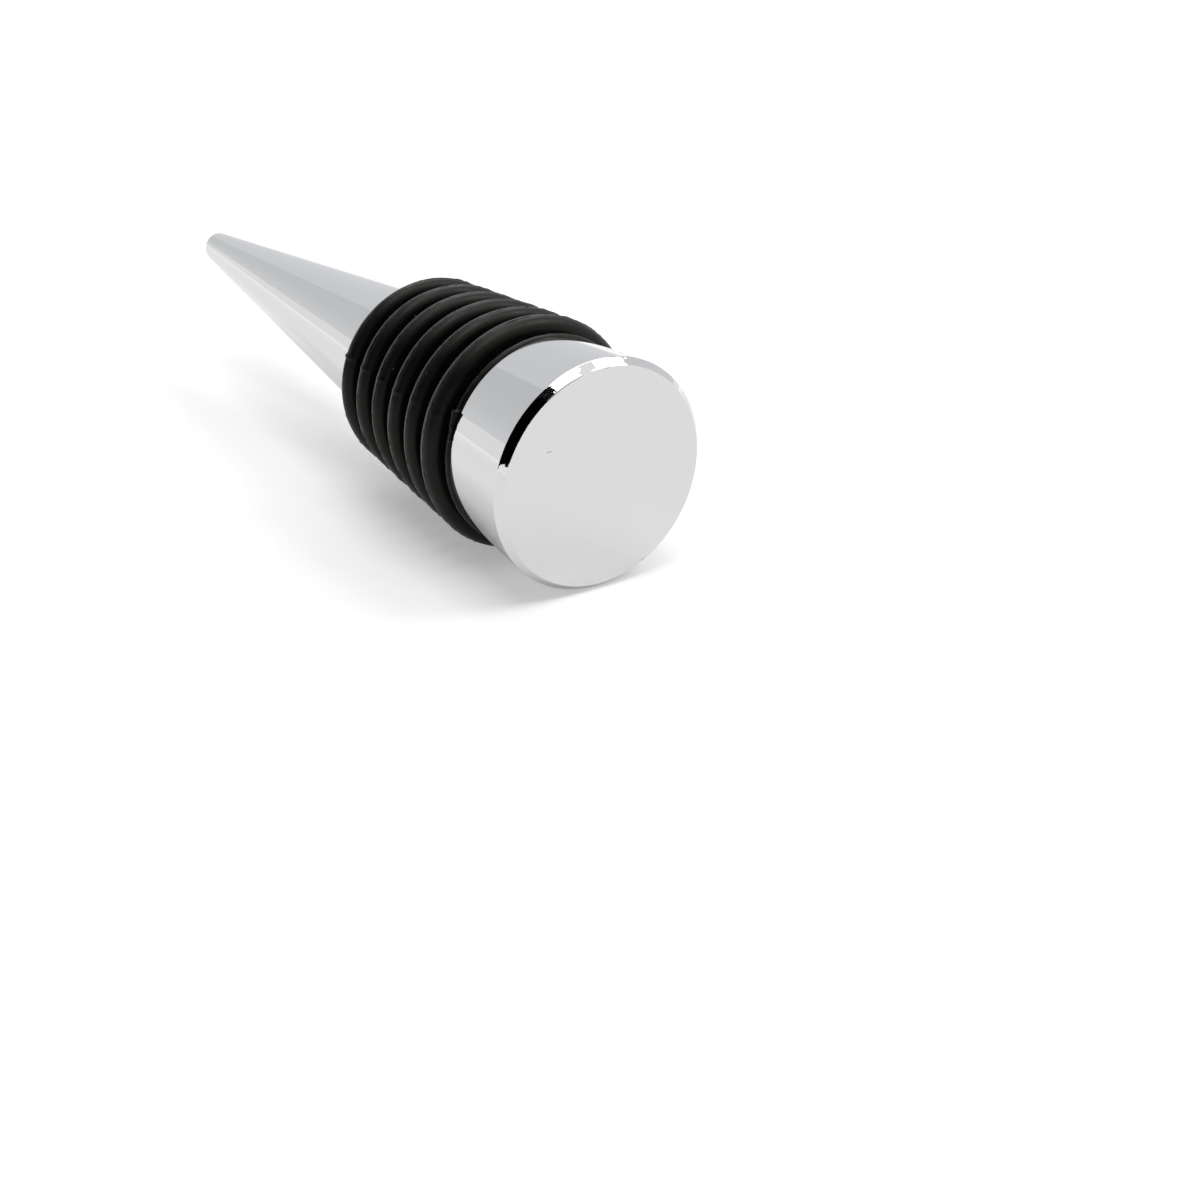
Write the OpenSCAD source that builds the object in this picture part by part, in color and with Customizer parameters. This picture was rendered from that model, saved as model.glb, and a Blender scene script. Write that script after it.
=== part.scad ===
// Wine stopper: a polished one-piece metal body with a ribbed rubber sleeve seated in its neck.
// The origin is the centre of the head's flat end face, and +Z runs along the axis to the tip.

/* [Head] */
// Diameter of the head at its widest, just behind the chamfer
head_d = 21; // [18:0.1:30]
// Diameter of the head where it meets the sleeve
head_back_d = 19.5; // [17:0.1:29]
// Length of the head, from the flat end face to the sleeve
head_len = 9.3; // [6:0.1:25]
// Width of the chamfer round the end face, measured across the face
chamfer_w = 0.6; // [0.3:0.1:2]
// Depth of the chamfer along the axis
chamfer_h = 0.7; // [0.3:0.1:2]
// Radius that polishing leaves on the two edges of the chamfer
chamfer_edge_r = 0.15; // [0.05:0.05:0.3]
// Radius of the head's rear edge, beside the sleeve
head_back_r = 0.3; // [0.1:0.1:1]

/* [Neck and cone] */
// Diameter of the neck that the sleeve sits on
neck_d = 12; // [8:0.1:13]
// Diameter of the cone where it leaves the sleeve
cone_d = 14.5; // [13.5:0.1:15.4]
// Length of the cone, from the sleeve to the tip
cone_len = 52; // [20:0.2:90]
// Radius of the cone's edge beside the sleeve
cone_edge_r = 0.3; // [0.1:0.1:0.6]
// Diameter of the cone's flat tip, before its edge is rounded
tip_d = 3.5; // [2.4:0.1:8]
// Radius of the tip's edge
tip_r = 0.5; // [0.2:0.1:1]

/* [Sleeve] */
// Clearance between the sleeve and the metal, on its bore and at each end
sleeve_fit = 0.02; // [0:0.01:0.1]
// Diameter at the bottom of the grooves between the ribs
root_d = 15.6; // [15.5:0.1:18]
// Width of the thin collar that lies against the head
collar_w = 0.7; // [0.4:0.1:1.2]
// Diameter of the collar, a little over the head's rear edge so that it shows as a thin dark line
collar_d = 20; // [17:0.1:22]
// Number of sealing ribs
rib_count = 6; // [2:1:9]
// Distance from one rib to the next
rib_pitch = 3.55; // [3:0.1:5]
// Thickness of a rib, whose crest is a full round
rib_w = 1.8; // [1:0.1:2.4]
// Thickness of the rib nearest the head, which is stouter than the others
first_rib_w = 2.2; // [1.2:0.1:2.6]
// Diameter over the rib nearest the head
first_rib_d = 22; // [20:0.1:24]
// Diameter over the rib nearest the tip
last_rib_d = 19.5; // [18.5:0.1:24]
// Width of the groove between the collar and the first rib
collar_gap = 0.8; // [0.6:0.05:2]
// Length of plain sleeve past the last rib
end_margin = 0.4; // [0:0.1:2]

/* [Hidden] */
$fn = 96;
// Degrees that each facet of a rounded edge turns through
arc_step = 10;

neck_r = neck_d / 2;
cone_r = cone_d / 2;
root_r = root_d / 2;
bore_r = neck_r + sleeve_fit;
collar_r = collar_d / 2;

sleeve_z = head_len + sleeve_fit;
first_rib_z = collar_w + collar_gap + first_rib_w / 2;
sleeve_len = first_rib_z + (rib_count - 1) * rib_pitch + rib_w / 2 + end_margin;
cone_z = sleeve_z + sleeve_len + sleeve_fit;
tip_z = cone_z + cone_len;

// Each rib's thickness, its middle along the sleeve and its crest radius, which falls evenly towards
// the tip
function rib_width(i) = i == 0 ? first_rib_w : rib_w;
function rib_z(i) = first_rib_z + i * rib_pitch;
function rib_r(i) = (first_rib_d + (last_rib_d - first_rib_d) * i / (rib_count - 1)) / 2;

// The arc that rounds corner b of the outline a-b-c to radius r
function unit(v) = v / norm(v);
function half_corner(a, b, c) = acos(unit(a - b) * unit(c - b)) / 2;
function arc_start(a, b, c, r) = b + unit(a - b) * r / tan(half_corner(a, b, c));
function arc_centre(a, b, c, r) =
    b + unit(unit(a - b) + unit(c - b)) * r / sin(half_corner(a, b, c));
function arc(a, b, c, r) =
    let (
        centre = arc_centre(a, b, c, r),
        start = arc_start(a, b, c, r) - centre,
        end = arc_start(c, b, a, r) - centre,
        turn = atan2(cross(start, end), start * end),
        steps = ceil(abs(turn) / arc_step)
    )
    [for (k = [0:steps]) centre + rotated(start, turn * k / steps)];
function rotated(v, angle) = [v.x * cos(angle) - v.y * sin(angle), v.x * sin(angle) + v.y * cos(angle)];

// An outline through corners [x, y, r], each rounded to its radius r, or sharp where r is 0
function rounded_outline(corners) =
    let (
        n = len(corners),
        at = [for (k = corners) [k.x, k.y]]
    )
    [for (i = [0:n - 1]) each corners[i].z == 0
        ? [at[i]]
        : arc(at[(i + n - 1) % n], at[i], at[(i + 1) % n], corners[i].z)];

// Half section of a ring on the sleeve: a flat disc from the bore out, with a full round crest
module ring_section(z, crest_r, w) {
    translate([bore_r, z - w / 2]) square([crest_r - w / 2 - bore_r, w]);
    translate([crest_r - w / 2, z]) circle(w / 2);
}

// Half section of the sleeve's wall between two rings, which dips to a full round at the root
module groove_section(z_start, z_end) {
    groove_r = (z_end - z_start) / 2;
    difference() {
        translate([bore_r, z_start]) square([root_r + groove_r - bore_r, z_end - z_start]);
        translate([root_r + groove_r, z_start + groove_r]) circle(groove_r);
    }
}

// Head, neck and cone, cast and polished as one piece
module metal_body() {
    color([0.80, 0.81, 0.83])
        rotate_extrude()
            polygon(rounded_outline([
                [0, 0, 0],
                [head_d / 2 - chamfer_w, 0, chamfer_edge_r],
                [head_d / 2, chamfer_h, chamfer_edge_r],
                [head_back_d / 2, head_len, head_back_r],
                [neck_r, head_len, 0],
                [neck_r, cone_z, 0],
                [cone_r, cone_z, cone_edge_r],
                [tip_d / 2, tip_z, tip_r],
                [0, tip_z, 0]
            ]));
}

// Soft sleeve stretched over the cone into the neck, with a collar against the head and sealing ribs
module rubber_sleeve() {
    color([0.09, 0.09, 0.09])
        translate([0, 0, sleeve_z])
            rotate_extrude() {
                ring_section(collar_w / 2, collar_r, collar_w);
                groove_section(collar_w, collar_w + collar_gap);
                for (i = [0:rib_count - 1])
                    ring_section(rib_z(i), rib_r(i), rib_width(i));
                for (i = [0:rib_count - 2])
                    groove_section(rib_z(i) + rib_width(i) / 2, rib_z(i + 1) - rib_w / 2);
                if (end_margin > 0)
                    translate([bore_r, sleeve_len - end_margin]) square([root_r - bore_r, end_margin]);
            }
}

metal_body();
rubber_sleeve();
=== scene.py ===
import bmesh
import bpy
import math
from mathutils import Matrix, Vector, noise


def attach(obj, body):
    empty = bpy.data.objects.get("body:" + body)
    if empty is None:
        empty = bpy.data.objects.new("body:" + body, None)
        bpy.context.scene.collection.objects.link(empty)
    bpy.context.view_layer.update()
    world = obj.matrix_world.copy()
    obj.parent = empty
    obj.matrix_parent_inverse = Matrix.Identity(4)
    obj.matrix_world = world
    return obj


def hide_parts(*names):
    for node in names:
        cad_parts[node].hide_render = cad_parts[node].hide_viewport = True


mm = 0.001

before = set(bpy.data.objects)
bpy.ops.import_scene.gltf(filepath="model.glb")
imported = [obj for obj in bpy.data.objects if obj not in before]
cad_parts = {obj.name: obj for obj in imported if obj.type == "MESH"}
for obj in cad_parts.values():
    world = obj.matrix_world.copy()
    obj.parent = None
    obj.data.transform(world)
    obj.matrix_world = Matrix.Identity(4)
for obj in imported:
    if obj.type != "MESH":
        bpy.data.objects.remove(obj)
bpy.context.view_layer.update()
scene = bpy.context.scene
scene.view_settings.view_transform = "Standard"


def linear(hexColour):
    # sRGB hex to the linear colour that the shaders take
    channels = [int(hexColour[i : i + 2], 16) / 255 for i in (1, 3, 5)]
    return [c / 12.92 if c <= 0.04045 else ((c + 0.055) / 1.055) ** 2.4 for c in channels] + [1]


def addNode(tree, kind, settings=None, links=None):
    # settings go to sockets by name or number, or to the node itself; links are {socket: source}
    node = tree.nodes.new(kind)
    for name, value in (settings or {}).items():
        if isinstance(name, int) or name in node.inputs:
            node.inputs[name].default_value = value
        else:
            setattr(node, name, value)
    for name, source in (links or {}).items():
        tree.links.new(source, node.inputs[name])
    return node


def newMaterial(name):
    material = bpy.data.materials.new(name)
    material.use_nodes = True
    material.node_tree.nodes.clear()
    return material


def newObject(name, shape, material):
    mesh = bpy.data.meshes.new(name)
    shape.to_mesh(mesh)
    shape.free()
    mesh.materials.append(material)
    thing = bpy.data.objects.new(name, mesh)
    scene.collection.objects.link(thing)
    return thing


# Camera: looks down on the stopper as it lies on its side, head towards the viewer

cameraPlan = {
    "place": (-72.03, -53.98, -101.85),  # mm from the centre of the head's end face
    "turn": (151.260, 34.470, -1.759),  # degrees
    "lens": 48,
    "sensor": 36,
    "clip": (0.005, 10),  # m
}

lens = bpy.data.cameras.new("camera")
lens.lens = cameraPlan["lens"]
lens.sensor_width = cameraPlan["sensor"]
lens.clip_start, lens.clip_end = cameraPlan["clip"]
camera = bpy.data.objects.new("camera", lens)
camera.location = [v * mm for v in cameraPlan["place"]]
camera.rotation_euler = [math.radians(v) for v in cameraPlan["turn"]]
scene.collection.objects.link(camera)
scene.camera = camera
print("camera placed")


# Chrome plate on the metal body

chromePlan = {
    "colour": "#DBDBDB",
    "roughness": 0.03,
    "rippleSize": 1.6,  # mm, slow waves that hand polishing leaves
    "rippleDepth": 0.0012,  # mm
    "edgeRippleSize": 0.9,  # mm, the narrow chamfer is buffed less evenly
    "edgeRippleDepth": 0.022,  # mm
    "edgeFrom": (9.85, 9.97),  # mm from the axis, where that begins and where it is full
    "edgeTo": (0.8, 0.65),  # mm from the end face, where it ends and where it is full
    "grainSize": 0.22,  # mm, drawn coarser than real buffing lines, which are about 0.02 mm
    "grainRoughness": 0.02,
    "nickSpacing": 1.5,  # mm between the places where the end face may have a nick
    "nickWidth": 0.11,  # mm
    "nickStretch": (0.25, 1, 1),  # they run with the polishing
    "nickColour": "#A2A2A4",
    "nickStrength": 0.8,  # share of that colour at the middle of a nick
}


def polishedChromePlate(plan):
    # bright nickel and chrome plate on a buffed casting: mirror-like, very faintly rippled, with
    # broken highlights along the chamfer and a few nicks on the end face
    material = newMaterial("polishedChromePlate")
    tree = material.node_tree
    place = addNode(tree, "ShaderNodeTexCoord").outputs["Object"]
    ripple = addNode(
        tree,
        "ShaderNodeTexNoise",
        {"Scale": 1 / (plan["rippleSize"] * mm), "Detail": 1.5, "Roughness": 0.4},
        {"Vector": place},
    )
    rippleBump = addNode(
        tree,
        "ShaderNodeBump",
        {"Strength": 1, "Distance": plan["rippleDepth"] * mm},
        {"Height": ripple.outputs["Fac"]},
    )
    axes = addNode(tree, "ShaderNodeSeparateXYZ", {}, {"Vector": place})
    flat = addNode(
        tree, "ShaderNodeCombineXYZ", {}, {"X": axes.outputs["X"], "Y": axes.outputs["Y"]}
    )
    radius = addNode(
        tree, "ShaderNodeVectorMath", {"operation": "LENGTH"}, {"Vector": flat.outputs[0]}
    )
    outside = addNode(
        tree,
        "ShaderNodeMapRange",
        {"From Min": plan["edgeFrom"][0] * mm, "From Max": plan["edgeFrom"][1] * mm},
        {"Value": radius.outputs["Value"]},
    )
    nearFace = addNode(
        tree,
        "ShaderNodeMapRange",
        {"From Min": plan["edgeTo"][0] * mm, "From Max": plan["edgeTo"][1] * mm},
        {"Value": axes.outputs["Z"]},
    )
    onEdge = addNode(
        tree,
        "ShaderNodeMath",
        {"operation": "MULTIPLY"},
        {0: outside.outputs["Result"], 1: nearFace.outputs["Result"]},
    )
    edgeRipple = addNode(
        tree,
        "ShaderNodeTexNoise",
        {"Scale": 1 / (plan["edgeRippleSize"] * mm), "Detail": 2, "Roughness": 0.5},
        {"Vector": place},
    )
    edgeHeight = addNode(
        tree,
        "ShaderNodeMath",
        {"operation": "MULTIPLY"},
        {0: edgeRipple.outputs["Fac"], 1: onEdge.outputs[0]},
    )
    edgeBump = addNode(
        tree,
        "ShaderNodeBump",
        {"Strength": 1, "Distance": plan["edgeRippleDepth"] * mm},
        {"Height": edgeHeight.outputs[0], "Normal": rippleBump.outputs["Normal"]},
    )
    grain = addNode(
        tree,
        "ShaderNodeTexNoise",
        {"Scale": 1 / (plan["grainSize"] * mm), "Detail": 3, "Roughness": 0.6},
        {"Vector": place},
    )
    finish = addNode(
        tree,
        "ShaderNodeMapRange",
        {
            "From Min": 0.35,
            "From Max": 0.75,
            "To Min": plan["roughness"],
            "To Max": plan["roughness"] + plan["grainRoughness"],
        },
        {"Value": grain.outputs["Fac"]},
    )
    stretched = addNode(
        tree, "ShaderNodeVectorMath", {"operation": "MULTIPLY", 1: plan["nickStretch"]}, {0: place}
    )
    nicks = addNode(
        tree,
        "ShaderNodeTexVoronoi",
        {"Scale": 1 / (plan["nickSpacing"] * mm)},
        {"Vector": stretched.outputs["Vector"]},
    )
    nickEdge = plan["nickWidth"] / plan["nickSpacing"]
    nick = addNode(
        tree,
        "ShaderNodeMapRange",
        {
            "From Min": nickEdge / 2,
            "From Max": nickEdge,
            "To Min": plan["nickStrength"],
            "To Max": 0,
        },
        {"Value": nicks.outputs["Distance"]},
    )
    nickOnFace = addNode(
        tree,
        "ShaderNodeMath",
        {"operation": "MULTIPLY"},
        {0: nick.outputs["Result"], 1: nearFace.outputs["Result"]},
    )
    colour = addNode(
        tree,
        "ShaderNodeMix",
        {"data_type": "RGBA", 6: linear(plan["colour"]), 7: linear(plan["nickColour"])},
        {0: nickOnFace.outputs[0]},
    )
    shader = addNode(
        tree,
        "ShaderNodeBsdfPrincipled",
        {"Metallic": 1},
        {
            "Base Color": colour.outputs[2],
            "Roughness": finish.outputs["Result"],
            "Normal": edgeBump.outputs["Normal"],
        },
    )
    addNode(tree, "ShaderNodeOutputMaterial", {}, {"Surface": shader.outputs["BSDF"]})
    return material


# Body: one outline turned round the axis, then its edges rounded

bodyPlan = {  # lengths in mm
    "steps": 288,  # round the axis
    "headRadius": 10.5,
    "headBackRadius": 9.75,
    "headLength": 9.3,
    "chamferWidth": 0.6,
    "chamferDepth": 0.7,
    "neckRadius": 6.0,
    "coneRadius": 7.25,
    "coneStart": 30.99,
    "tipRadius": 1.75,
    "tipEnd": 82.99,
    "edges": {  # radius in mm that polishing leaves on each edge, and facets round it
        "face": (0.15, 5),
        "rim": (0.15, 5),
        "back": (0.3, 6),
        "cone": (0.3, 5),
        "tip": (0.5, 8),
    },
    "holdBack": 0.06,  # mm from each rounded edge to a loop that keeps the flats flat
}


def drawOutline(shape, points):
    # wire through points (radius, height) in mm, in the plane of the axis
    verts = [shape.verts.new((r * mm, 0, z * mm)) for r, z in points]
    for a, b in zip(verts, verts[1:]):
        shape.edges.new((a, b))
    return verts


def turnOutline(shape, steps):
    bmesh.ops.spin(
        shape,
        geom=shape.verts[:] + shape.edges[:],
        cent=(0, 0, 0),
        axis=(0, 0, 1),
        angle=math.tau,
        steps=steps,
        use_merge=True,
    )
    bmesh.ops.remove_doubles(shape, verts=shape.verts[:], dist=1e-7)
    bmesh.ops.recalc_face_normals(shape, faces=shape.faces[:])


def ringEdges(shape, radius, height, slack=0.02):
    # edges that run round the axis at one radius and height, give or take the slack, in mm
    found = []
    for edge in shape.edges:
        if all(
            abs(v.co.xy.length / mm - radius) < slack and abs(v.co.z / mm - height) < slack
            for v in edge.verts
        ):
            found.append(edge)
    return found


def makeMetalBody(plan, material):
    face = plan["headRadius"] - plan["chamferWidth"]
    corners = {
        "face": (face, 0),
        "rim": (plan["headRadius"], plan["chamferDepth"]),
        "back": (plan["headBackRadius"], plan["headLength"]),
        "neckFoot": (plan["neckRadius"], plan["headLength"]),
        "neckTop": (plan["neckRadius"], plan["coneStart"]),
        "cone": (plan["coneRadius"], plan["coneStart"]),
        "tip": (plan["tipRadius"], plan["tipEnd"]),
    }
    names = list(corners)
    points = [(0, 0)] + list(corners.values()) + [(0, plan["tipEnd"])]
    shape = bmesh.new()
    drawOutline(shape, points)
    turnOutline(shape, plan["steps"])
    cuts = []
    for name, (edgeRadius, facets) in plan["edges"].items():
        radius, height = corners[name]
        i = names.index(name) + 1
        before = (Vector(points[i - 1]) - Vector(points[i])).normalized()
        after = (Vector(points[i + 1]) - Vector(points[i])).normalized()
        reach = edgeRadius / math.tan(before.angle(after) / 2)
        bmesh.ops.bevel(
            shape,
            geom=ringEdges(shape, radius, height),
            offset=reach * mm,
            offset_type="OFFSET",
            affect="EDGES",
            segments=facets,
            profile=0.5,
            material=-1,
        )
        for way in (before, after):
            if way.y != 0:
                cuts.append(height + way.y * (reach + plan["holdBack"]))
    for height in cuts:
        bmesh.ops.bisect_plane(
            shape,
            geom=shape.verts[:] + shape.edges[:] + shape.faces[:],
            dist=1e-8,
            plane_co=(0, 0, height * mm),
            plane_no=(0, 0, 1),
        )
    for height in (0, plan["tipEnd"]):  # a thin ring inside each flat end, for the same reason
        flat = [f for f in shape.faces if all(abs(v.co.z - height * mm) < 1e-7 for v in f.verts)]
        bmesh.ops.inset_region(
            shape, faces=flat, thickness=plan["holdBack"] * mm, use_even_offset=True
        )
    for f in shape.faces:
        f.smooth = True
    body = newObject("chromedBody", shape, material)
    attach(body, "root")
    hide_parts("metal_body")
    return body


chrome = polishedChromePlate(chromePlan)
metalBody = makeMetalBody(bodyPlan, chrome)
print("metal body made,", len(metalBody.data.polygons), "faces")


# Rubber sleeve

rubberPlan = {
    "colour": "#030303",
    "dustColour": "#77756F",
    "sheenColour": "#A7A8A0",  # wax dulls what it mirrors straight on
    "roughness": 0.42,
    "ior": 1.5,
    "bloom": 0.06,  # pale film of dust and wax, seen at a flat angle
    "bloomRoughness": 0.3,
    "bloomColour": "#FFFDF6",
    "grainSize": 0.12,  # mm, matt texture of the mould
    "grainDepth": 0.005,  # mm
    "mottleSize": 2.2,  # mm, where handling has made it a little shinier
    "mottleDepth": 0.02,  # mm, faint unevenness of a soft moulding
    "dustSize": 0.8,  # mm between places where a speck may lie
    "dustShare": 0.3,  # share of those places that have one
}


def mouldedRubber(plan):
    # food-grade black rubber from a matt mould: deep black, soft sheen at a flat angle, a few specks
    material = newMaterial("mouldedRubber")
    tree = material.node_tree
    place = addNode(tree, "ShaderNodeTexCoord").outputs["Object"]
    grain = addNode(
        tree,
        "ShaderNodeTexNoise",
        {"Scale": 1 / (plan["grainSize"] * mm), "Detail": 3, "Roughness": 0.6},
        {"Vector": place},
    )
    mottle = addNode(
        tree,
        "ShaderNodeTexNoise",
        {"Scale": 1 / (plan["mottleSize"] * mm), "Detail": 4, "Roughness": 0.55},
        {"Vector": place},
    )
    finish = addNode(
        tree,
        "ShaderNodeMapRange",
        {
            "From Min": 0.3,
            "From Max": 0.7,
            "To Min": plan["roughness"] - 0.06,
            "To Max": plan["roughness"] + 0.08,
        },
        {"Value": mottle.outputs["Fac"]},
    )
    dust = addNode(
        tree, "ShaderNodeTexVoronoi", {"Scale": 1 / (plan["dustSize"] * mm)}, {"Vector": place}
    )
    speck = addNode(
        tree,
        "ShaderNodeMapRange",
        {"From Min": 0.05, "From Max": 0.09, "To Min": 1, "To Max": 0},
        {"Value": dust.outputs["Distance"]},
    )
    chance = addNode(
        tree,
        "ShaderNodeMath",
        {"operation": "LESS_THAN", 1: plan["dustShare"]},
        {0: dust.outputs["Color"]},
    )
    speckHere = addNode(
        tree,
        "ShaderNodeMath",
        {"operation": "MULTIPLY"},
        {0: speck.outputs["Result"], 1: chance.outputs[0]},
    )
    colour = addNode(
        tree,
        "ShaderNodeMix",
        {"data_type": "RGBA", 6: linear(plan["colour"]), 7: linear(plan["dustColour"])},
        {0: speckHere.outputs[0]},
    )
    mottleBump = addNode(
        tree,
        "ShaderNodeBump",
        {"Strength": 1, "Distance": plan["mottleDepth"] * mm},
        {"Height": mottle.outputs["Fac"]},
    )
    grainBump = addNode(
        tree,
        "ShaderNodeBump",
        {"Strength": 1, "Distance": plan["grainDepth"] * mm},
        {"Height": grain.outputs["Fac"], "Normal": mottleBump.outputs["Normal"]},
    )
    shader = addNode(
        tree,
        "ShaderNodeBsdfPrincipled",
        {
            "IOR": plan["ior"],
            "Specular Tint": linear(plan["sheenColour"]),
            "Sheen Weight": plan["bloom"],
            "Sheen Roughness": plan["bloomRoughness"],
            "Sheen Tint": linear(plan["bloomColour"]),
        },
        {
            "Base Color": colour.outputs[2],
            "Roughness": finish.outputs["Result"],
            "Normal": grainBump.outputs["Normal"],
        },
    )
    addNode(tree, "ShaderNodeOutputMaterial", {}, {"Surface": shader.outputs["BSDF"]})
    return material


sleevePlan = {  # lengths in mm
    "steps": 432,  # round the axis
    "boreRadius": 6.02,
    "start": 9.32,  # where the collar meets the head
    "collarRadius": 9.9,
    "collarWidth": 0.7,
    "collarGap": 0.8,
    "rootRadius": 7.8,
    "ribs": 6,
    "ribPitch": 3.55,
    "firstRibWidth": 2.2,  # the rib nearest the head is stouter
    "ribWidth": 1.8,
    "firstRibRadius": 11.0,
    "lastRibRadius": 9.75,
    "endMargin": 0.4,
    "facets": 10,  # round each groove and the collar's edge
    "crestFacets": 8,  # from a rib's side to its crest
    "wearFrom": 0.1,  # mm above the bottom of the grooves, where the wear below begins
    "flashHeight": 0.06,  # mm, line of flash that the mould leaves on each crest
    "flashWidth": 0.2,  # mm
    "flashWorn": 0.55,  # share of its height that is worn away
    "flashNicks": 1.3,  # how much that share varies
    "flashGrain": 0.5,  # mm between the nicks
    "flashStray": 0.16,  # mm that it strays to either side
    "strayGrain": 1.25,  # mm from one bend to the next
    "wander": 0.07,  # mm that a soft rib strays from true
    "wanderBends": 1.6,  # more of them give more bends round a rib
    "trimDepth": 0.04,  # mm that trimming has taken off the collar's edge
    "trimFrom": (0.5, 0.15),  # mm inside that edge, where this begins and where it is full
    "burrHeight": 0.4,  # mm, a rag of flash on the collar that trimming has left
    "burrFoot": 0.04,  # mm that all of it stands proud
    "burrNicks": 0.12,  # mm
    "burrGrain": 0.5,  # mm between the nicks
    "burrEnd": 0.06,  # share of its length in which each end rises
    "burrLean": 0.25,  # mm that its low end lies over the metal
    "leanFrom": (0.2, 0.1),  # mm inside the collar's edge, where this begins and where it is full
    "burrAngles": (-168, -151.5),  # degrees round the axis
    "seamAngle": -158.5,  # where the halves of the mould met
    "seamWidth": 1.5,  # degrees to either side
    "seamStray": 2,  # degrees that it strays with each rib
    "seamHeights": [0.05, 0.06, 0.1, 0.07, 0.12, 0.2],  # mm, trimmed stubs on the ribs
    "seamReach": 1.2,  # how far down a rib's side a stub runs, where 1 is half its width
}


def penStraight(shape, pen, dr, dz):
    # draws a straight line from the pen and returns the new pen
    step = bmesh.ops.extrude_vert_indiv(shape, verts=[pen])
    tip = step["verts"][0]
    bmesh.ops.translate(shape, verts=[tip], vec=(dr * mm, 0, dz * mm))
    return tip


def penRound(shape, pen, centre, degrees, facets):
    # draws an arc round centre (radius, height) in mm and returns the new pen
    arc = bmesh.ops.spin(
        shape,
        geom=[pen],
        cent=(centre[0] * mm, 0, centre[1] * mm),
        axis=(0, 1, 0),
        angle=math.radians(degrees),
        steps=facets,
    )
    return next(v for v in arc["geom_last"] if isinstance(v, bmesh.types.BMVert))


def ribCrests(plan):
    # radius and height of each crest in mm, and its rib's width
    first = plan["start"] + plan["collarWidth"] + plan["collarGap"] + plan["firstRibWidth"] / 2
    fall = (plan["lastRibRadius"] - plan["firstRibRadius"]) / (plan["ribs"] - 1)
    crests = []
    for i in range(plan["ribs"]):
        width = plan["ribWidth"] if i else plan["firstRibWidth"]
        crests.append((plan["firstRibRadius"] + fall * i, first + plan["ribPitch"] * i, width))
    return crests


def drawSleeve(shape, plan):
    # wall from the bore out along the collar, over the ribs and back to the bore
    start = shape.verts.new((plan["boreRadius"] * mm, 0, plan["start"] * mm))
    root = plan["rootRadius"]
    side = plan["collarRadius"] - plan["collarWidth"] / 2
    pen = penStraight(shape, start, side - plan["boreRadius"], 0)
    middle = plan["start"] + plan["collarWidth"] / 2
    pen = penRound(shape, pen, (side, middle), -180, plan["facets"])
    top = plan["start"] + plan["collarWidth"]
    for crest, height, width in ribCrests(plan):
        half = width / 2
        gap = height - half - top
        pen = penStraight(shape, pen, root + gap / 2 - side, 0)
        pen = penRound(shape, pen, (root + gap / 2, top + gap / 2), 180, plan["facets"])
        side = crest - plan["flashHeight"] - half
        pen = penStraight(shape, pen, side - root - gap / 2, 0)
        turn = math.degrees(math.asin(plan["flashWidth"] / 2 / half))
        sink = half - math.sqrt(half**2 - (plan["flashWidth"] / 2) ** 2)
        pen = penRound(shape, pen, (side, height), turn - 90, plan["crestFacets"])
        pen = penStraight(shape, pen, plan["flashHeight"] + sink, plan["flashWidth"] / 2)
        pen = penStraight(shape, pen, -plan["flashHeight"] - sink, plan["flashWidth"] / 2)
        pen = penRound(shape, pen, (side, height), turn - 90, plan["crestFacets"])
        top = height + half
    pen = penStraight(shape, pen, root - side, 0)
    pen = penStraight(shape, pen, 0, plan["endMargin"])
    pen = penStraight(shape, pen, plan["boreRadius"] - root, 0)
    shape.edges.new((pen, start))


def rise(value, start, full):
    # 0 at the start, 1 where it is full
    return min(1, max(0, (value - start) / (full - start)))


def roundAxis(v):
    # direction out from the axis, angle round it in degrees and distance from it in mm
    out = Vector((v.co.x, v.co.y, 0)).normalized()
    return out, math.degrees(math.atan2(v.co.y, v.co.x)), v.co.xy.length / mm


def wearCollar(v, plan):
    # trimming has left the edge a little uneven, with a rag of flash at one place
    out, angle, r = roundAxis(v)
    inside = plan["collarRadius"] - r
    rag = noise.noise(v.co / (plan["burrGrain"] * mm))
    edge = rise(inside, *plan["trimFrom"])
    lip = rise(inside, *plan["leanFrom"])
    low, high = plan["burrAngles"]
    along = (angle - low) / (high - low)
    if 0 < along < 1:
        end = min(1, along / plan["burrEnd"], (1 - along) / plan["burrEnd"])
        height = plan["burrHeight"] * along**2 + plan["burrFoot"] + plan["burrNicks"] * rag
        v.co += out * mm * edge * end * height
        v.co.z -= mm * lip * end * plan["burrLean"] * (1 - along) * (1 + 0.5 * rag)
    else:
        v.co -= out * mm * plan["trimDepth"] * (0.5 + rag) * edge


def wearRib(v, crest, height, width, stub, plan):
    # a rib strays a little, its flash is nicked and a stub stands where the mould's halves met
    out, angle, r = roundAxis(v)
    middle = plan["seamReach"] - abs(v.co.z / mm - height) / width * 2
    lift = (r - plan["rootRadius"]) / (crest - plan["rootRadius"])
    sway = noise.noise(out * plan["wanderBends"] + Vector((0, 0, height)))
    if r > crest - plan["flashHeight"] * 0.5:
        nick = noise.noise(v.co / (plan["flashGrain"] * mm))
        stray = noise.noise(v.co / (plan["strayGrain"] * mm))
        worn = min(1, max(0, plan["flashWorn"] + plan["flashNicks"] * nick))
        v.co -= out * mm * plan["flashHeight"] * worn
        v.co.z += plan["flashStray"] * mm * stray
    v.co.z += plan["wander"] * mm * sway * lift**2
    near = 1 - abs(angle - plan["seamAngle"] - plan["seamStray"] * sway) / plan["seamWidth"]
    if near > 0 and middle > 0:
        v.co += out * mm * stub * near * min(1, middle)


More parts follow.
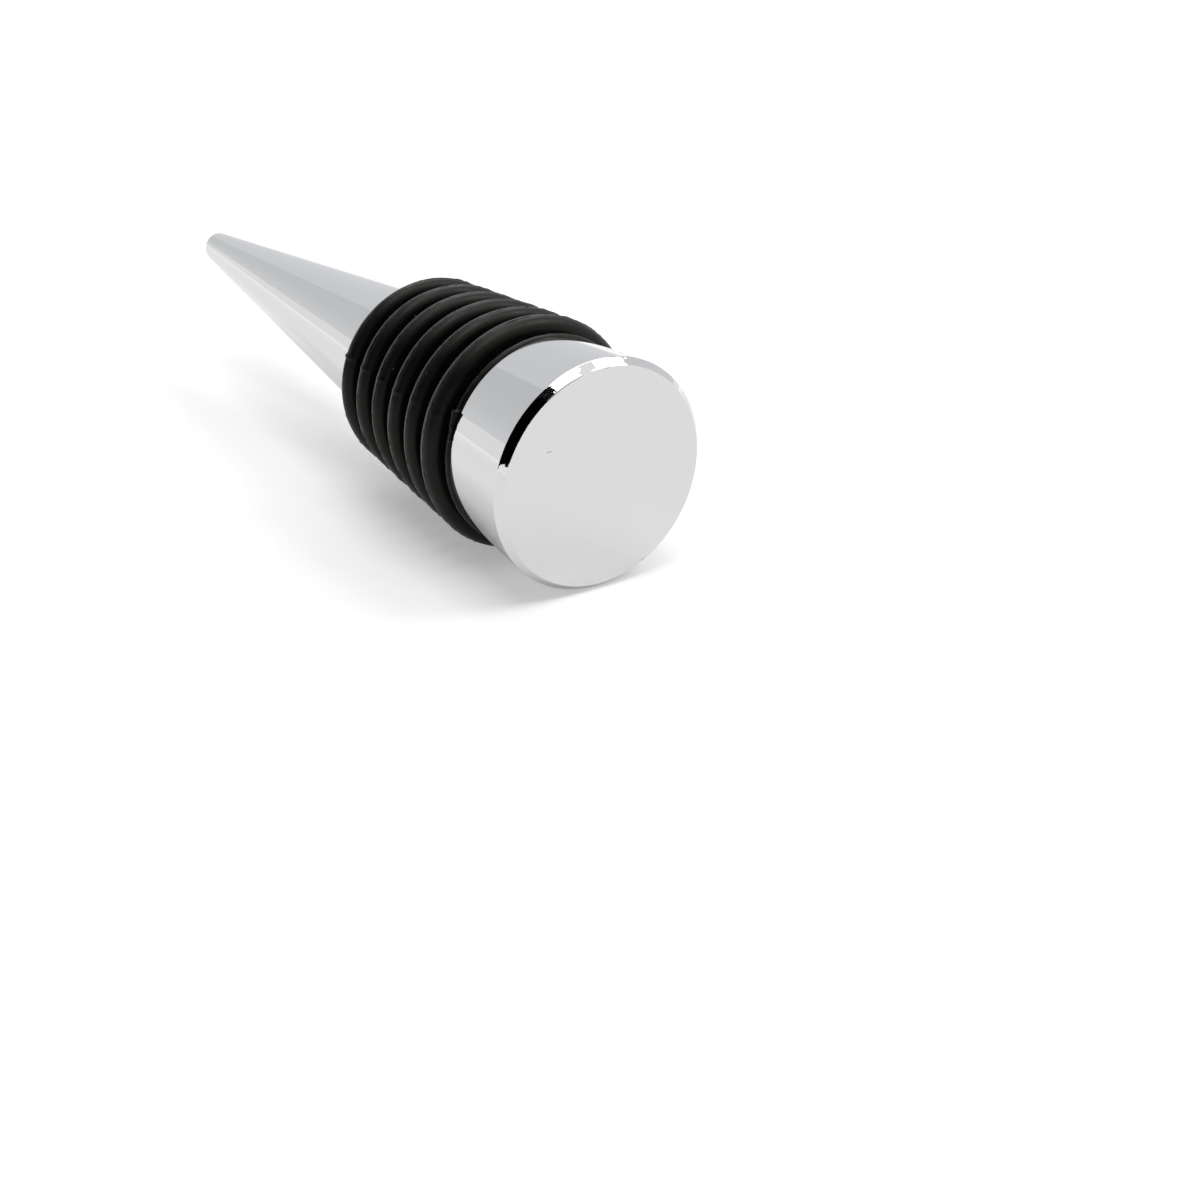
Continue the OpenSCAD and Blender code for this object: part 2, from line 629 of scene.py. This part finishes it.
def wearSleeve(shape, plan):
    # wear on everything above the bottom of the grooves
    crests = ribCrests(plan)
    collarTop = plan["start"] + plan["collarWidth"] + 1e-3
    for v in shape.verts:
        z = v.co.z / mm
        if v.co.xy.length / mm < plan["rootRadius"] + plan["wearFrom"]:
            continue
        if z < collarTop:
            wearCollar(v, plan)
        else:
            nearest = round((z - crests[0][1]) / plan["ribPitch"])
            nearest = min(nearest, len(crests) - 1)
            wearRib(v, *crests[nearest], plan["seamHeights"][nearest], plan)


def makeSleeve(plan, material):
    shape = bmesh.new()
    drawSleeve(shape, plan)
    turnOutline(shape, plan["steps"])
    wearSleeve(shape, plan)
    for f in shape.faces:
        f.smooth = True
    sleeve = newObject("ribbedSleeve", shape, material)
    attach(sleeve, "root")
    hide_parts("rubber_sleeve")
    return sleeve


rubber = mouldedRubber(rubberPlan)
sleeve = makeSleeve(sleevePlan, rubber)
print("sleeve made,", len(sleeve.data.polygons), "faces")


# Studio: the stopper lies on its side on one sheet of white paper, for the camera, and stands on
# another for a look from other sides. Each sheet shows only from its front.

studioPlan = {
    "lyingTilt": 2.56,  # degrees that the axis rises when rim and first rib rest on the sheet
    "lyingTouch": (0, 10.5, 0.7),  # mm, where the rim touches it
    "lyingGap": 0.02,  # mm from the rim to the sheet
    "standingHole": 9.95,  # mm, radius of the hole that the end face stands in
    "sheetSize": 3.0,  # m
    "paperColour": "#E6E6E6",
    "paperGlow": {"lyingSheet": 0.34, "standingSheet": 0.42},  # to the lens, near the stopper
    "behindGlow": {"lyingSheet": 0, "standingSheet": 0.2},  # more, where the other sheet shades it
    "behindFrom": 10.46,  # mm along Y, just before the two sheets cross
    "behindTo": 10.49,
    "paperSheen": 0.22,  # in reflections, near the stopper
    "farGlow": 0.95,  # to the lens, where the sheet runs out into the white
    "farSheen": 0.7,  # in reflections, there
    "farFrom": 0.12,  # m from the stopper
    "farTo": 0.8,
    "skyLevel": 0.2,  # light on everything from all round, where 1 is white
}


def whitePaper(name, plan):
    # matt seamless paper, bright enough to the lens to read as plain white, shadow kept
    material = newMaterial(name + "Paper")
    tree = material.node_tree
    path = addNode(tree, "ShaderNodeLightPath")
    place = addNode(tree, "ShaderNodeTexCoord").outputs["Object"]
    away = addNode(tree, "ShaderNodeVectorMath", {"operation": "LENGTH"}, {"Vector": place})
    lensGlow, mirrorGlow = [
        addNode(
            tree,
            "ShaderNodeMapRange",
            {
                "From Min": plan["farFrom"],
                "From Max": plan["farTo"],
                "To Min": nearLevel,
                "To Max": farLevel,
            },
            {"Value": away.outputs["Value"]},
        )
        for nearLevel, farLevel in (
            (plan["paperGlow"][name], plan["farGlow"]),
            (plan["paperSheen"], plan["farSheen"]),
        )
    ]
    axes = addNode(tree, "ShaderNodeSeparateXYZ", {}, {"Vector": place})
    behind = addNode(
        tree,
        "ShaderNodeMapRange",
        {
            "From Min": plan["behindFrom"] * mm,
            "From Max": plan["behindTo"] * mm,
            "To Max": plan["behindGlow"][name],
        },
        {"Value": axes.outputs["Y"]},
    )
    evenGlow = addNode(
        tree,
        "ShaderNodeMath",
        {"operation": "ADD", "use_clamp": True},
        {0: lensGlow.outputs["Result"], 1: behind.outputs["Result"]},
    )
    toLens = addNode(
        tree,
        "ShaderNodeMath",
        {"operation": "MULTIPLY"},
        {0: path.outputs["Is Camera Ray"], 1: evenGlow.outputs[0]},
    )
    mirrored = addNode(
        tree,
        "ShaderNodeMath",
        {"operation": "MAXIMUM"},
        {0: path.outputs["Is Glossy Ray"], 1: path.outputs["Is Transmission Ray"]},
    )
    glow = addNode(
        tree,
        "ShaderNodeMath",
        {"operation": "MULTIPLY_ADD"},
        {0: mirrored.outputs[0], 1: mirrorGlow.outputs["Result"], 2: toLens.outputs[0]},
    )
    paper = addNode(tree, "ShaderNodeBsdfDiffuse", {"Color": linear(plan["paperColour"])})
    light = addNode(
        tree, "ShaderNodeEmission", {"Color": (1, 1, 1, 1)}, {"Strength": glow.outputs[0]}
    )
    front = addNode(tree, "ShaderNodeAddShader", {}, {0: paper.outputs[0], 1: light.outputs[0]})
    back = addNode(tree, "ShaderNodeBsdfTransparent")
    side = addNode(tree, "ShaderNodeNewGeometry")
    mixed = addNode(
        tree,
        "ShaderNodeMixShader",
        {},
        {0: side.outputs["Backfacing"], 1: front.outputs[0], 2: back.outputs[0]},
    )
    addNode(tree, "ShaderNodeOutputMaterial", {}, {"Surface": mixed.outputs[0]})
    material.cycles.emission_sampling = "NONE"
    return material


tilt = math.radians(studioPlan["lyingTilt"])
lyingUp = Vector((0, -math.cos(tilt), math.sin(tilt)))
lookAlong = camera.rotation_euler.to_matrix() @ Vector((0, 0, -1))
lyingAhead = (lookAlong - lookAlong.dot(lyingUp) * lyingUp).normalized()
lyingRight = lyingAhead.cross(lyingUp)


def lyingSheet(plan):
    shape = bmesh.new()
    bmesh.ops.create_grid(shape, x_segments=1, y_segments=1, size=plan["sheetSize"] / 2)
    turn = Matrix((lyingRight, lyingAhead, lyingUp)).transposed().to_4x4()
    touch = Vector(plan["lyingTouch"]) * mm - lyingUp * plan["lyingGap"] * mm
    bmesh.ops.transform(shape, matrix=Matrix.Translation(touch) @ turn, verts=shape.verts[:])
    sheet = newObject("lyingSheet", shape, whitePaper("lyingSheet", plan))
    return sheet


def standingSheet(plan):
    shape = bmesh.new()
    bmesh.ops.create_circle(shape, segments=96, radius=plan["standingHole"] * mm)
    inner = shape.edges[:]
    ring = bmesh.ops.extrude_edge_only(shape, edges=inner)
    outer = [v for v in ring["geom"] if isinstance(v, bmesh.types.BMVert)]
    grow = plan["sheetSize"] / 2 / (plan["standingHole"] * mm)
    bmesh.ops.scale(shape, vec=(grow, grow, 1), verts=outer)
    shape.normal_update()
    bmesh.ops.reverse_faces(shape, faces=[f for f in shape.faces if f.normal.z < 0])
    sheet = newObject("standingSheet", shape, whitePaper("standingSheet", plan))
    for ray in ("visible_glossy", "visible_diffuse", "visible_shadow", "visible_transmission"):
        setattr(sheet, ray, False)
    return sheet


lyingSheet(studioPlan)
standingSheet(studioPlan)
print("paper laid")


# Tent panels are painted reflections: glowing cards that show only in reflections, with the greys
# of a light tent's lit walls and black for its dark opening. Corners are azimuth and elevation in
# degrees, seen from the stopper as it lies: azimuth 0 is away from the viewer, 90 is to the right.

panelPlan = {
    "sweep": {
        "foot": ((-104, -0.5), (-29.6, -0.5)),
        "head": ((-104, 18), (-29.6, 1.3)),
        "greys": [(0, "#F9F9F9"), (1, "#F9F9F9")],
    },
    "rearWall": {
        "foot": ((-29.6, 1.3), (78, 5)),
        "head": ((-47, 75), (78, 75)),
        "greys": [(0, "#E6E7EA"), (0.3, "#E2E3E6"), (1, "#E2E3E6")],
    },
    "sideWall": {
        "foot": ((-104, 18), (-29.6, 1.3)),
        "head": ((-104, 75), (-47, 75)),
        # painted shade: this wall's reflection is given darker greys towards its head
        "greys": [
            (0, "#E6E7E9"),
            (0.04, "#E4E5E7"),
            (0.12, "#DEDFE1"),
            (0.19, "#DADBDD"),
            (0.26, "#D8D9DB"),
            (0.32, "#D5D6D9"),
            (1, "#D5D6D9"),
        ],
    },
    # painted shade: black cards where the tent opens onto the dark room, seen only in reflections
    "openSide": {
        "foot": ((122, 2), (161, 2)),
        "head": ((122, 20), (161, 36)),
        "greys": [(0, "#030303"), (1, "#030303")],
    },
    "openFront": {
        "foot": ((160, 2), (262, 2)),
        "head": ((160, 57), (262, 88)),
        "greys": [(0, "#030303"), (1, "#030303")],
    },
}


def tentDirection(azimuth, elevation):
    a = math.radians(azimuth)
    e = math.radians(elevation)
    flat = math.cos(a) * lyingAhead + math.sin(a) * lyingRight
    return math.cos(e) * flat + math.sin(e) * lyingUp


def between(a, b, share):
    return [u + (w - u) * share for u, w in zip(a, b)]


def tentPanel(name, panel, distance):
    # part of a sphere round the stopper, so that each panel keeps its place in every reflection
    shape = bmesh.new()
    bmesh.ops.create_grid(shape, x_segments=24, y_segments=50, size=0.5)
    # tone: the painted reflection grey at each point of the panel
    tone = shape.verts.layers.float_color.new("tone")
    greys = [(height, linear(grey)) for height, grey in panel["greys"]]  # from foot to head
    for v in shape.verts:
        across = v.co.x + 0.5
        up = v.co.y + 0.5
        foot = between(*panel["foot"], across)
        head = between(*panel["head"], across)
        for (low, grey), (high, nextGrey) in zip(greys, greys[1:]):
            if low <= up + 1e-6:
                v[tone] = between(grey, nextGrey, (up - low) / (high - low))
        v.co = tentDirection(*between(foot, head, up)) * distance
    # painted reflection: the card glows in its greys and is seen only in reflections, lighting
    # nothing
    material = newMaterial(name)
    colour = addNode(material.node_tree, "ShaderNodeAttribute", {"attribute_name": "tone"})
    glow = addNode(
        material.node_tree, "ShaderNodeEmission", {}, {"Color": colour.outputs["Color"]}
    )
    addNode(material.node_tree, "ShaderNodeOutputMaterial", {}, {"Surface": glow.outputs[0]})
    material.cycles.emission_sampling = "NONE"
    card = newObject(name, shape, material)
    for ray in ("visible_camera", "visible_diffuse", "visible_shadow", "visible_transmission"):
        setattr(card, ray, False)


panelDistance = 1.2  # m, and each next one is nearer, so that it hides what it overlaps
panelStep = 0.02

for i, (name, panel) in enumerate(panelPlan.items()):
    tentPanel(name, panel, panelDistance - panelStep * i)
print("tent panels hung")


softboxPlan = {  # direction in degrees, distance and size in m, brightness where 1 is white
    "keySoftbox": {"azimuth": 172, "elevation": 78, "distance": 1.1, "size": 0.7, "level": 3.8},
    "topSoftbox": {"azimuth": -5, "elevation": 50, "distance": 1.1, "size": 0.7, "level": 2},
    "sideSoftbox": {"azimuth": 85, "elevation": 48, "distance": 1.1, "size": 0.45, "level": 5},
}


def hangSoftbox(name, plan):
    lamp = bpy.data.lights.new(name, "AREA")
    lamp.shape = "SQUARE"
    lamp.size = plan["size"]
    lamp.energy = plan["level"] * math.pi * plan["size"] ** 2  # watts that give that brightness
    box = bpy.data.objects.new(name, lamp)
    towards = tentDirection(plan["azimuth"], plan["elevation"])
    box.location = towards * plan["distance"]
    box.rotation_euler = towards.to_track_quat("Z", "Y").to_euler()
    box.visible_camera = False
    scene.collection.objects.link(box)


for name, plan in softboxPlan.items():
    hangSoftbox(name, plan)


def paleSky(level):
    # white to the lens and in reflections, and a plain level of light on everything else
    world = bpy.data.worlds.new("paleSky")
    world.use_nodes = True
    world.node_tree.nodes.clear()
    world.cycles.sampling_method = "NONE"
    tree = world.node_tree
    path = addNode(tree, "ShaderNodeLightPath")
    strength = addNode(
        tree,
        "ShaderNodeMapRange",
        {"To Min": 1, "To Max": level},
        {"Value": path.outputs["Is Diffuse Ray"]},
    )
    light = addNode(
        tree,
        "ShaderNodeBackground",
        {"Color": (1, 1, 1, 1)},
        {"Strength": strength.outputs["Result"]},
    )
    addNode(tree, "ShaderNodeOutputWorld", {}, {"Surface": light.outputs[0]})
    scene.world = world


paleSky(studioPlan["skyLevel"])
print("studio lit")
